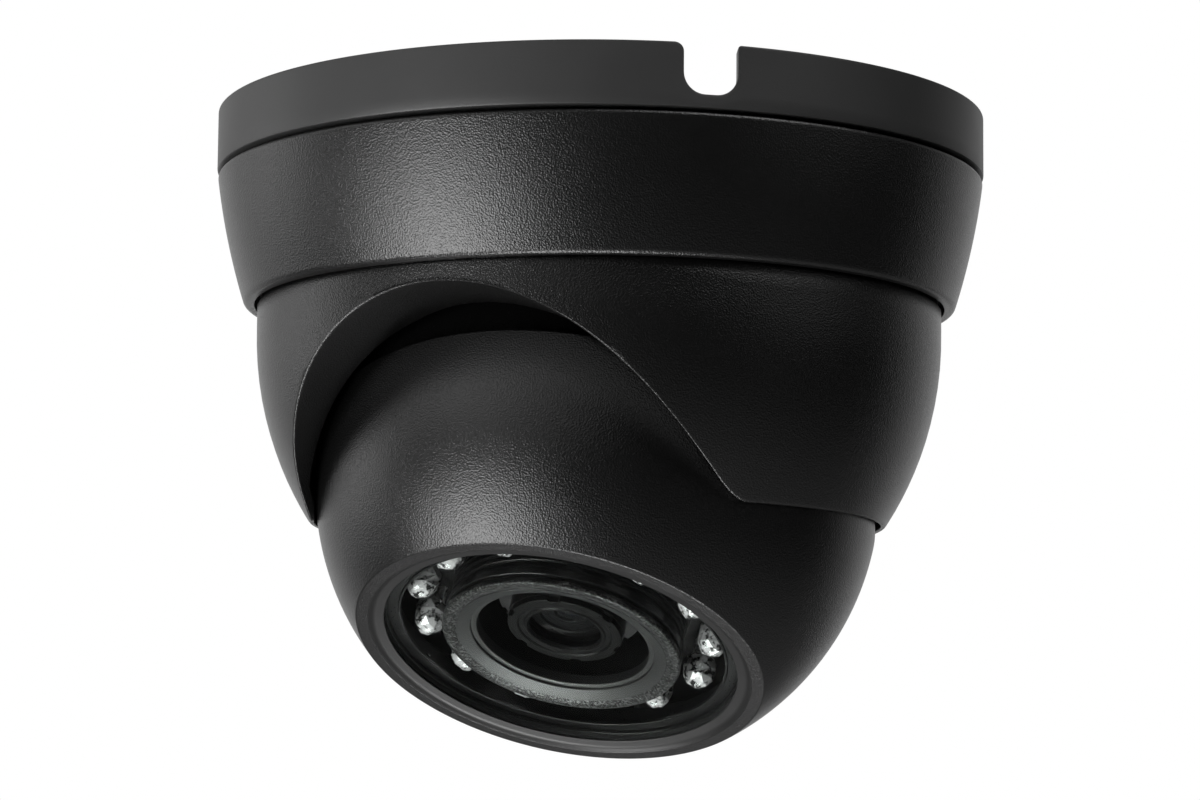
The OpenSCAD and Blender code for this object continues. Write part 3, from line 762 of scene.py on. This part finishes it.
# Ball
def shell_outline():
    """The ball's front shell with its face lip, window pocket, web and bearing tube."""
    def inside(t):
        return (sqrt(SHELL_IN ** 2 - t * t), t)

    rear = asin(REAR_T / BALL_R)
    face = acos(FACE_R / BALL_R)
    outside = arc(BALL_R, rear + 0.012, face - 0.014, 46)
    corners = [(BALL_R * cos(rear), REAR_T, 0.22), *outside,
               (FACE_R, FACE_T, 0.32), (FACE_R - LIP_W, FACE_T, 0.12), (FACE_R - LIP_W, FACE_T - 0.5),
               (POCKET_R, GLASS_TOP), (POCKET_R, RING_BOT), inside(RING_BOT)]
    corners += [inside(t) for t in steps_between(RING_BOT - 1, WEB_TOP + 0.5, 5)]
    corners += [inside(WEB_TOP), (TUBE_IN, WEB_TOP), (TUBE_IN, TUBE_BOT)]
    corners += [(TUBE_R, TUBE_BOT), (TUBE_R, WEB_BOT), inside(WEB_BOT)]
    corners += [inside(t) for t in steps_between(WEB_BOT - 0.5, REAR_T + 0.4, 3)]
    corners += [(inside(REAR_T)[0], REAR_T, 0.15)]
    return rounded(corners, 5)


def bezel_outline():
    """The smooth slope between the grained lip and the window."""
    edge = FACE_R - LIP_W
    foot = GLASS_TOP + 0.01
    return rounded([(OPENING_R, foot), (edge + 0.2, foot), (edge + 0.02, FACE_T - 0.02, 0.06),
                    (edge - 0.5, FACE_T - 0.44, 1.0), (OPENING_R, GLASS_TOP + 0.1, 0.05)], 6)


def window_outline():
    edge = POCKET_R - 0.2
    return rounded([(0, GLASS_BOT), (edge, GLASS_BOT, 0.12), (edge, GLASS_TOP, 0.12), (0, GLASS_TOP)], 3)


def clamp_outline():
    """The ring that holds the window: two fine steps show round the edge of the face."""
    top = GLASS_BOT - 0.6
    foot, rim = top - 3.2, POCKET_R - 0.02
    edge, step, lip = OPENING_R - 0.7, OPENING_R - 0.12, OPENING_R - 1.72
    groove, lip_top = top - 0.5, top - 0.34
    return rounded([(rim, foot), (rim, top), (step, top, 0.09), (step - 0.05, groove), (lip + 0.35, groove),
                    (lip + 0.25, lip_top, 0.06), (lip, lip_top, 0.07), (lip, top - 0.75, 0.06),
                    (edge, top - 1.1), (edge, foot)], 3)


def shroud_outline():
    """The speckled top of the ring round the lens."""
    foot, inner = SHROUD_TOP - 0.42, SHROUD_IN + 1.2
    return rounded([(inner, foot), (SHROUD_R, foot), (SHROUD_R, SHROUD_TOP, 0.3),
                    (SHROUD_R - 0.95, SHROUD_TOP - 0.06, 0.2), (inner, SHROUD_TOP - 0.4)], 5)


def shroud_wall_outline():
    """The smooth side of that ring, with a groove."""
    top, inner = SHROUD_TOP - 0.44, SHROUD_IN + 1.7
    wall, groove = SHROUD_R - 0.02, SHROUD_R - 0.6
    return rounded([(inner, SHROUD_BOT), (wall, SHROUD_BOT, 0.18), (wall, top - 0.9, 0.18),
                    (groove, top - 0.9), (groove, top - 0.35), (wall, top - 0.35, 0.15), (wall, top),
                    (inner, top)], 4)


def funnel_outline():
    """The smooth slope from the speckled ring to the lens well, with a fine rim at its foot."""
    wide, slim = SHROUD_IN + 1.6, SHROUD_IN - 0.7
    ledge = SHROUD_TOP - 1.05
    return rounded([(slim, SHROUD_BOT), (wide, SHROUD_BOT), (wide, SHROUD_TOP - 0.19, 0.05),
                    (SHROUD_IN, SHROUD_TOP - 0.78, 0.08), (SHROUD_IN - 0.05, ledge),
                    (SHROUD_IN - 0.35, ledge, 0.05), (slim, SHROUD_TOP - 1.15, 0.1)], 4)


def tube_outline():
    """The tube under the ring, with the fine steps of its mould."""
    wide, slim, bore = SHROUD_R - 0.25, SHROUD_R - 0.6, 11.6
    steps, level = 5, BOARD_TOP + 1
    corners = [(bore, BOARD_TOP), (SHROUD_R, BOARD_TOP, 0.1), (SHROUD_R, level, 0.15)]
    pitch = (SHROUD_BOT - level) / steps
    for k in range(steps):
        foot = level + pitch * k
        corners += [(slim, foot + 0.02), (slim, foot + pitch * 0.70), (wide, foot + pitch * 0.72, 0.14),
                    (wide, foot + pitch * 0.98, 0.14)]
    corners += [(slim, SHROUD_BOT - 0.01), (bore, SHROUD_BOT - 0.01)]
    return rounded(corners, 3)


def ball_piece(name, shape, finish, stands_for=()):
    piece(name, shape, BALL, finish, "eyeball", stands_for)


ball_piece("front_shell", turned(shell_outline(), 240), GRAINED, ["ball_shell"])
ball_piece("bezel", turned(bezel_outline(), 200), SMOOTH)
ball_piece("window", turned(window_outline()), WINDOW, ["front_glass"])
ball_piece("window_clamp", turned(clamp_outline()), PLASTIC, ["glass_clamp_ring"])
ball_piece("speckled_ring", turned(shroud_outline()), SPECKLED, ["lens_shroud"])
ball_piece("shroud_wall", turned(shroud_wall_outline()), PLASTIC)
ball_piece("lens_funnel", turned(funnel_outline()), SMOOTH)
ball_piece("stepped_tube", turned(tube_outline()), PLASTIC, ["lens_tube"])


# Lens
def notched_ring():
    """The ring that screws the lens together, with notches for the tool."""
    around, notches = 216, 6
    first, half_width, slope, deep = radians(20), radians(6), radians(1.2), 0.4
    foot, top = LENS_TOP - 0.8, LENS_TOP

    def outline(edge):
        return rounded([(LENS_RING_IN + 0.5, foot), (edge, foot, 0.05), (edge, top, 0.12), (5.75, top, 0.1),
                        (5.55, top - 0.2, 0.05), (5.0, top - 0.2, 0.08), (4.8, top - 0.02, 0.09),
                        (LENS_RING_IN + 0.25, top - 0.02, 0.1), (LENS_RING_IN, top - 0.45, 0.06)], 4)

    verts, rows = [], 0
    for k in range(around):
        a = 2 * pi * k / around
        off = (a - first + pi / notches) % (2 * pi / notches) - pi / notches
        notch = min(max((half_width - abs(off)) / slope, 0), 1)
        line = outline(LENS_RING_R - deep * notch)
        verts += [(p[0] * cos(a), p[0] * sin(a), p[1]) for p in line]
        rows = len(line)
    return verts, grid_faces(around, rows)


def dome_outline(radius, top, rise, thick):
    """A round glass: a shallow dome over a flat back."""
    curve = (radius ** 2 + rise ** 2) / (2 * rise)
    half = asin(radius / curve)
    cap = arc(curve, pi / 2 - half, pi / 2, 16, (0, top - curve))
    return [(0, top - rise - thick), (radius, top - rise - thick), *cap]


def iris_outline():
    """The dark steps seen through the outer glass, down to the small inner lens."""
    top, hole = LENS_TOP - 1.75, 1.2
    foot = top - 1.4
    return rounded([(hole, foot), (OUTER_LENS_R, foot), (OUTER_LENS_R, top), (4.3, top, 0.1),
                    (3.5, top - 0.35, 0.1), (3.35, top - 0.62, 0.06), (2.5, top - 0.72, 0.08),
                    (2.2, top - 0.6, 0.08), (1.75, top - 0.66, 0.1), (1.55, top - 1.0, 0.06),
                    (hole, top - 1.1)], 3)


OUTER_LENS = dome_outline(OUTER_LENS_R, LENS_TOP - 0.85, rise=0.75, thick=0.1)
INNER_LENS = dome_outline(1.5, LENS_TOP - 2.35, rise=0.45, thick=0.2)
ball_piece("notched_lens_ring", notched_ring(), LENS_BLACK, ["lens_front_ring"])
ball_piece("outer_lens", turned(OUTER_LENS, 96), LENS_COVER, ["front_lens"])
ball_piece("iris", turned(iris_outline(), 96), LENS_BLACK)
ball_piece("inner_lens", turned(INNER_LENS, 64), LENS_GLASS)


# What repeats
def repeater():
    """A tree that sets copies of a piece round a ring, turned outwards."""
    tree = bpy.data.node_groups.new("ring_of_pieces", "GeometryNodeTree")
    tree.is_modifier = True
    for name, kind in (("Piece", "Object"), ("Places", "Int"), ("Copies", "Int"), ("Radius", "Float"),
                       ("First turn", "Float"), ("Level", "Float"), ("Finish", "Material")):
        tree.interface.new_socket(name, in_out="INPUT", socket_type="NodeSocket" + kind)
    tree.interface.new_socket("Geometry", in_out="OUTPUT", socket_type="NodeSocketGeometry")
    nodes, link = tree.nodes, tree.links.new
    given = nodes.new("NodeGroupInput").outputs
    result = nodes.new("NodeGroupOutput")

    def add(kind, settings=None, sockets=None):
        node = nodes.new(kind)
        for key, value in (settings or {}).items():
            setattr(node, key, value)
        for key, value in (sockets or {}).items():
            if isinstance(value, bpy.types.NodeSocket):
                link(value, node.inputs[key])
            else:
                node.inputs[key].default_value = value
        return node

    def maths(operation, *values):
        return add("ShaderNodeMath", {"operation": operation}, dict(enumerate(values))).outputs[0]

    index = add("GeometryNodeInputIndex").outputs[0]
    spacing = maths("DIVIDE", 2 * pi, given["Places"])
    turn = maths("ADD", given["First turn"], maths("MULTIPLY", index, spacing))
    x = maths("MULTIPLY", maths("COSINE", turn), given["Radius"])
    y = maths("MULTIPLY", maths("SINE", turn), given["Radius"])
    spot = add("ShaderNodeCombineXYZ", None, {0: x, 1: y, 2: given["Level"]}).outputs[0]
    facing = add("ShaderNodeCombineXYZ", None, {2: turn}).outputs[0]
    row = add("GeometryNodePoints", None, {"Count": given["Copies"], "Position": spot}).outputs[0]
    single = add("GeometryNodeObjectInfo", {"transform_space": "ORIGINAL"}, {"Object": given["Piece"]})
    copies = add("GeometryNodeInstanceOnPoints", None,
                 {"Points": row, "Instance": single.outputs["Geometry"], "Rotation": facing}).outputs[0]
    real = add("GeometryNodeRealizeInstances", None, {"Geometry": copies}).outputs[0]
    painted = add("GeometryNodeSetMaterial", None, {"Geometry": real, "Material": given["Finish"]})
    link(painted.outputs[0], result.inputs[0])
    return tree


RING_OF_PIECES = repeater()


def ring_of(name, shape, finish, places, copies, radius, first_turn, level, place, sharp=SHARP):
    """Copies of a shape round a ring, as one plain object in the frame that place gives."""
    single = new_object(name + "_single", shape_mesh(name + "_single", shape, sharp=sharp))
    host = new_object(name + "_host", bpy.data.meshes.new(name + "_host"))
    modifier = host.modifiers.new("ring", "NODES")
    modifier.node_group = RING_OF_PIECES
    values = {"Piece": single, "Places": places, "Copies": copies, "Radius": radius * MM,
              "First turn": first_turn, "Level": level * MM, "Finish": finish}
    for item in RING_OF_PIECES.interface.items_tree:
        if item.name in values:
            modifier[item.identifier] = values[item.name]
    obj = baked(host, name)
    bpy.data.objects.remove(single)
    scaled = Matrix.Scale(MM, 4) @ place @ Matrix.Scale(1 / MM, 4)
    obj.data.transform(scaled)
    return obj


def joined(*shapes):
    """Several shapes as one."""
    verts, faces = [], []
    for more_verts, more_faces in shapes:
        start = len(verts)
        verts += [tuple(v) for v in more_verts]
        faces += [tuple(start + i for i in face) for face in more_faces]
    return verts, faces


def block(low_corner, high_corner):
    """A plain box, for small inner parts."""
    (a, b, c), (d, e, f) = low_corner, high_corner
    verts = [(x, y, z) for z in (c, f) for x, y in ((a, b), (d, b), (d, e), (a, e))]
    faces = [(3, 2, 1, 0), (4, 5, 6, 7), (0, 1, 5, 4), (1, 2, 6, 5), (2, 3, 7, 6), (3, 0, 4, 7)]
    return verts, faces


def lamp_body():
    """A clear round-topped lamp with its foot."""
    dome = arc(LAMP_R, 0, pi / 2, 12, (0, LAMP_H - LAMP_R))
    foot = LAMP_R + 0.35
    return turned(rounded([(0, 0), (foot, 0, 0.1), (foot, 1, 0.15), (LAMP_R, 1.02), *dome]), 40)


def lamp_works():
    """What shows inside a lamp: a bright crumpled reflector over its two posts."""
    chance = random.Random(11)
    centre = LAMP_H - LAMP_R
    around = 9
    rings = [(1.2, centre - 2.6), (2.0, centre - 1.5), (2.12, centre - 0.3), (1.92, centre + 0.8),
             (1.25, centre + 1.6)]
    verts = [(0, 0, centre - 2.9)]
    for row, (radius, level) in enumerate(rings):
        for k in range(around):
            a = 2 * pi * (k + row % 2 / 2 + chance.uniform(-0.25, 0.25)) / around
            out = radius * chance.uniform(0.91, 1.0)
            verts.append((out * cos(a), out * sin(a), level + chance.uniform(-0.3, 0.1)))
    verts.append((0, 0, centre + 2.1))
    faces = []
    last = 1 + (len(rings) - 1) * around
    for k in range(around):
        after = (k + 1) % around
        faces.append((0, 1 + after, 1 + k))
        faces.append((last + k, last + after, len(verts) - 1))
        for here in range(1, last, around):
            faces.append((here + k, here + after, here + around + after))
            faces.append((here + k, here + around + after, here + around + k))
    anvil = block((-1.2, -0.35, 0.2), (-0.2, 0.35, centre - 2.3))
    post = block((0.5, -0.3, 0.2), (1.0, 0.3, centre - 2.0))
    return joined((verts, faces), anvil, post)


SENSOR_TURN = radians(259.3)
FIRST_LAMP = SENSOR_TURN + 2 * pi / LAMP_PLACES
LAMPS = dict(places=LAMP_PLACES, copies=LAMP_PLACES - 1, radius=LAMP_RING_R, first_turn=FIRST_LAMP,
             level=BOARD_TOP, place=BALL)
lamp_bodies = ring_of("lamp_bodies", lamp_body(), LAMP_LENS, **LAMPS)
dress(lamp_bodies, LAMP_LENS, "eyeball", ["ir_leds"])
FACETED = 1
lamp_insides = ring_of("lamp_insides", lamp_works(), LAMP_METAL, **LAMPS, sharp=FACETED)
dress(lamp_insides, LAMP_METAL, "eyeball")

# Finishes of the solids that show as they are
NODE_FINISHES = {
    "satin_black": SATIN, "grained_black": GRAINED, "black_plastic": PLASTIC, "black_rubber": RUBBER,
    "plated_steel": STEEL, "dark_aluminium": ALUMINIUM, "circuit_board": BOARD, "chips": CHIPS,
    "connector_white": WHITE, "brass_posts": BRASS, "copper_coil": COPPER, "clear_glass": LENS_GLASS,
    "lamp_lens": LAMP_LENS,
}
for part in frame["record"]["subparts"]:
    node = frame["nodes"][part["node"]]
    node.data.materials.clear()
    node.data.materials.append(NODE_FINISHES[part["material_slot"]])
frame["nodes"]["led_board"].data.materials[0] = BLACK_BOARD


# Stage: the camera stands where the photograph was taken from
VIEW_TURN = radians(-15.2)
VIEW_RISE = radians(7.23)
VIEW_ROLL = radians(0.51)
VIEW_AHEAD = Vector((-sin(VIEW_TURN) * cos(VIEW_RISE), cos(VIEW_TURN) * cos(VIEW_RISE), sin(VIEW_RISE)))
VIEW_BACK = 0.468
VIEW_AIM = Vector((0, 0, -0.036))
FLOOR_HALF = 4.0
FLOOR_LEVEL = -1.3


def area_lamp(name, place, target, width, height, power):
    light = bpy.data.lights.new(name, "AREA")
    light.shape = "RECTANGLE"
    light.size = width
    light.size_y = height
    light.energy = power
    obj = new_object(name, light)
    obj.location = place
    obj.rotation_euler = (target - place).to_track_quat("-Z", "Y").to_euler()


def studio_world():
    """White to the camera, pale behind the object, dim in front of it."""
    world = bpy.data.worlds.new("studio")
    bpy.context.scene.world = world
    f = Finish(world)
    seen = f.add("ShaderNodeLightPath", out="Is Camera Ray")
    glossy = f.add("ShaderNodeLightPath", out="Is Glossy Ray")
    mirrored = glossy + f.add("ShaderNodeLightPath", out="Is Transmission Ray")
    white = f.add("ShaderNodeBackground", None, {"Color": grey(1.0), "Strength": 1.0})
    brightest = Matrix.Rotation(radians(4), 3, "Z") @ VIEW_AHEAD
    facing = f.add("ShaderNodeVectorMath", {"operation": "DOT_PRODUCT"},
                   {0: f.add("ShaderNodeTexCoord", out="Generated"), 1: brightest}, "Value")
    behind = f.ramp(facing, (0.42, 0.0), (0.95, 0.45))
    glow = f.ramp(facing, (0.0, 0.006), (0.40, 0.03), (0.75, 0.32), (1.0, 0.6))
    soft = f.add("ShaderNodeBackground", None, {"Color": glow, "Strength": 1.0})
    shown = f.add("ShaderNodeMath", {"operation": "MAXIMUM"}, {0: seen, 1: mirrored * behind})
    mixed = f.add("ShaderNodeMixShader", None, {0: shown, 1: soft, 2: white})
    f.add("ShaderNodeOutputWorld", None, {"Surface": mixed})


def floor():
    """A pale floor, nearly white to the camera."""
    mesh = bpy.data.meshes.new("floor")
    sides = ((-1, -1), (1, -1), (1, 1), (-1, 1))
    corners = [(x * FLOOR_HALF, y * FLOOR_HALF, FLOOR_LEVEL) for x, y in sides]
    mesh.from_pydata(corners, [], [(0, 1, 2, 3)])
    obj = new_object("floor", mesh)
    f = material("floor")
    cloud = f.noise(400, 2)
    paint = f.principled(Base_Color=f.blend(cloud, grey(0.80), grey(0.84)), Roughness=0.6)
    white = f.add("ShaderNodeEmission", None, {"Color": grey(1.0), "Strength": 1.0})
    seen = f.add("ShaderNodeLightPath", out="Is Camera Ray")
    mesh.materials.append(f.close(f.add("ShaderNodeMixShader", None, {0: 0.75 * seen, 1: paint, 2: white})))


def camera():
    data = bpy.data.cameras.new("camera")
    data.sensor_width = 36
    data.lens = 115.5
    data.shift_x, data.shift_y = 0.0014, 0.0121
    data.clip_start, data.clip_end = 0.01, 50
    obj = new_object("camera", data)
    level = VIEW_AHEAD.cross(Vector((0, 0, 1))).normalized()
    up = level.cross(VIEW_AHEAD)
    right = level * cos(VIEW_ROLL) + up * sin(VIEW_ROLL)
    up = right.cross(VIEW_AHEAD)
    turn = Matrix((right, up, -VIEW_AHEAD)).transposed().to_4x4()
    obj.matrix_world = Matrix.Translation(VIEW_AIM - VIEW_AHEAD * VIEW_BACK) @ turn
    bpy.context.scene.camera = obj


camera()
studio_world()
floor()

# Lamps, in metres from the middle of the part as the camera sees it: ahead, to the right and up
SIDE = VIEW_AHEAD.cross(Vector((0, 0, 1))).normalized()
AHEAD = Vector((VIEW_AHEAD.x, VIEW_AHEAD.y, 0)).normalized()
MIDDLE = Vector((0, 0, -0.04))
for lamp, (ahead, right, up), (width, height), power in (
    ("key_light", (-0.52, -0.64, -0.38), (0.58, 0.6), 8.5),
    ("top_light", (-0.40, -0.86, 0.62), (1.1, 0.6), 2.6),
    ("fill_light", (-0.45, 0.60, 0.95), (0.9, 0.9), 6.5),
    ("front_light", (-0.84, -0.23, 0.48), (0.5, 0.4), 0.45),
    ("low_light", (-0.04, -0.12, -0.87), (0.4, 0.4), 4.2),
    ("side_light", (-0.35, 0.90, 0.28), (0.7, 0.4), 0.3),
    ("rim_light", (0.30, -0.95, 0.10), (0.4, 0.5), 1.0),
):
    spot = MIDDLE + AHEAD * ahead + SIDE * right + Vector((0, 0, up))
    area_lamp(lamp, spot, MIDDLE, width, height, power)

bpy.context.scene.view_settings.view_transform = "Standard"
